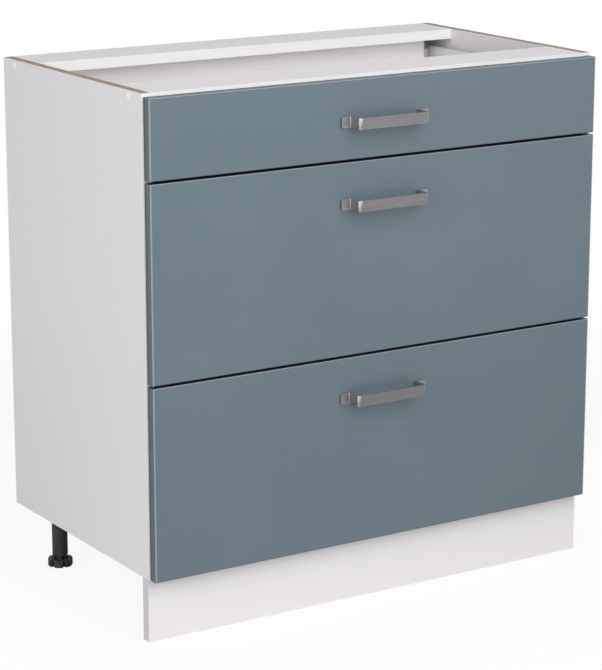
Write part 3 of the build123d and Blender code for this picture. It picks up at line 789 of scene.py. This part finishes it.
# ----------------------------------------------------------------- handles
# Flat strip of dark brushed nickel bent to a hat, held by two screws from behind.
# The brush marks run along the strip. The bends, edges and legs are painted brighter
# than the grip's face as a painted highlight, and the flanges are painted lighter too.

NICKEL_HIGHLIGHT = (0.400, 0.386, 0.400)
NICKEL_GRIP = (0.246, 0.239, 0.246)
GRIP_SQUARE_ON = 0.95
# painted light: the flanges show less of the grip's darker colour and more of the painted highlight
FLANGE_SHARE = 0.3  # how much of the grip's colour the flanges show
BRUSH = (14, 1800, 1800)
BRUSH_DETAIL = 4.0
BRUSH_LIGHT = (1.00, 1.00, 1.00)
BRUSH_SHADE = (0.80, 0.80, 0.80)
STRIP_EASE = 0.0007

nickel_look = finish("brushed_nickel", NICKEL_HIGHLIGHT, roughness=0.4, metallic=1.0)
handle_low, handle_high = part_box("handle_top")
depth = axis_parts(nickel_look, place(nickel_look))["Y"]
# painted highlight on all but the grip's forward faces, and painted light on the flanges
forward = work_out(nickel_look, "LESS_THAN", facing(nickel_look)["Y"], -GRIP_SQUARE_ON)
towards_grip = spread(nickel_look, depth, 1, FLANGE_SHARE, handle_low.y, handle_high.y)
on_grip = work_out(nickel_look, "MULTIPLY", forward, towards_grip)
brushed = add(nickel_look, "ShaderNodeVectorMath")
brushed.operation = "MULTIPLY"
join(nickel_look, mix_colours(nickel_look, on_grip, NICKEL_HIGHLIGHT, NICKEL_GRIP), brushed.inputs[0])
join(nickel_look, tint(nickel_look, BRUSH_LIGHT, BRUSH_SHADE, BRUSH, BRUSH_DETAIL), brushed.inputs[1])
paint(nickel_look, brushed.outputs["Vector"])
shine(nickel_look, BRUSH, smoothest=0.36, dullest=0.52, detail=BRUSH_DETAIL)
relief(nickel_look, BRUSH, height=0.00003, detail=BRUSH_DETAIL)
for drawer in DRAWERS:
    dress(nickel_look, f"handle_{drawer}")
    ease(STRIP_EASE, f"handle_{drawer}")


# ------------------------------------------------- floor, light and camera
# A pale floor that fades out into the white ground, a broad soft lamp in front, a
# lamp at the left and one overhead, and the camera where the picture was taken.

FLOOR_WHITE = (0.90, 0.90, 0.90, 1)
FLOOR_GLOW = 0.91
FLOOR_THICKNESS = 0.004
FADE_START = 0.7
FADE_END = 2.2
LAMPS = (
    # name, place, aimed at, width, height, watts
    ("front_lamp", (0.05, -1.9, 1.75), (0, 0, 0.7), 2.0, 1.8, 29.5),
    ("left_lamp", (-2.6, -1.0, 1.2), (-0.4, 0, 1.0), 0.8, 2.0, 26.7),
    ("top_lamp", (0, 0.1, 3.0), (0, 0, 0.8), 0.6, 0.6, 3.5),
)
SKY_WHITE = (1, 1, 1, 1)
SKY_SEEN = 1.0
SKY_AMBIENT = 0.36
CAMERA_PLACE = (-2.05823, -3.23406, 1.34750)
CAMERA_TURN = 0.56437
CAMERA_DIP = 0.24828
CAMERA_LENS = 133.714
CAMERA_SENSOR = 36.0
CAMERA_NEAR = 0.1
CAMERA_FAR = 50


def blend(look, share, first, second):
    """A surface that goes from the first to the second as the share goes from 0 to 1."""
    mix = add(look, "ShaderNodeMixShader")
    join(look, share, mix.inputs["Fac"])
    join(look, first, mix.inputs[1])
    join(look, second, mix.inputs[2])
    return mix.outputs["Shader"]


def aim(thing, direction):
    """Turn a lamp or a camera to look along a direction, upright."""
    thing.rotation_mode = "QUATERNION"
    thing.rotation_quaternion = direction.to_track_quat("-Z", "Y")


floor_mesh = bmesh.new()
turn(floor_mesh, [(FADE_END, -FLOOR_THICKNESS), (FADE_END, 0)], (0, 0, 0), (0, 0, 1), sides=96)
floor_data = bpy.data.meshes.new("floor")
floor_mesh.to_mesh(floor_data)
floor_mesh.free()
floor = bpy.data.objects.new("floor", floor_data)
bpy.context.scene.collection.objects.link(floor)

floor_look = bpy.data.materials.new("floor_paint")
floor_look.use_nodes = True
floor_look.node_tree.nodes.clear()
matt = add(floor_look, "ShaderNodeBsdfDiffuse")
matt.inputs["Color"].default_value = FLOOR_WHITE
glow = add(floor_look, "ShaderNodeEmission")
clear = add(floor_look, "ShaderNodeBsdfTransparent")
seen = add(floor_look, "ShaderNodeLightPath").outputs["Is Camera Ray"]
lift = work_out(floor_look, "MULTIPLY", seen, FLOOR_GLOW)
lifted = blend(floor_look, lift, matt.outputs["BSDF"], glow.outputs["Emission"])
distance = add(floor_look, "ShaderNodeVectorMath")
distance.operation = "LENGTH"
join(floor_look, place(floor_look), distance.inputs[0])
fade = add(floor_look, "ShaderNodeMapRange")
fade.interpolation_type = "SMOOTHSTEP"
fade.inputs["From Min"].default_value = FADE_START
fade.inputs["From Max"].default_value = FADE_END
join(floor_look, distance.outputs["Value"], fade.inputs["Value"])
faded = blend(floor_look, fade.outputs["Result"], lifted, clear.outputs["BSDF"])
surface = add(floor_look, "ShaderNodeOutputMaterial")
join(floor_look, faded, surface.inputs["Surface"])
floor_data.materials.append(floor_look)

world = bpy.data.worlds.new("studio")
bpy.context.scene.world = world
world.use_nodes = True
sky = world.node_tree.nodes["Background"]
sky.inputs["Color"].default_value = SKY_WHITE
rays = add(world, "ShaderNodeLightPath").outputs
seen = work_out(world, "MAXIMUM", rays["Is Camera Ray"], rays["Is Glossy Ray"])
seen = work_out(world, "MAXIMUM", seen, rays["Is Transmission Ray"])
join(world, spread(world, seen, SKY_AMBIENT, SKY_SEEN, 0, 1), sky.inputs["Strength"])

for name, spot, target, width, height, watts in LAMPS:
    lamp = bpy.data.lights.new(name, "AREA")
    lamp.shape = "RECTANGLE"
    lamp.size = width
    lamp.size_y = height
    lamp.energy = watts
    stand = bpy.data.objects.new(name, lamp)
    stand.location = spot
    aim(stand, Vector(target) - Vector(spot))
    bpy.context.scene.collection.objects.link(stand)

lens = bpy.data.cameras.new("camera")
lens.lens = CAMERA_LENS
lens.sensor_width = CAMERA_SENSOR
lens.clip_start = CAMERA_NEAR
lens.clip_end = CAMERA_FAR
camera = bpy.data.objects.new("camera", lens)
camera.location = CAMERA_PLACE
level_part = math.cos(CAMERA_DIP)
ahead = (math.sin(CAMERA_TURN) * level_part, math.cos(CAMERA_TURN) * level_part, -math.sin(CAMERA_DIP))
aim(camera, Vector(ahead))
bpy.context.scene.collection.objects.link(camera)
bpy.context.scene.camera = camera
bpy.context.scene.view_settings.view_transform = "Standard"
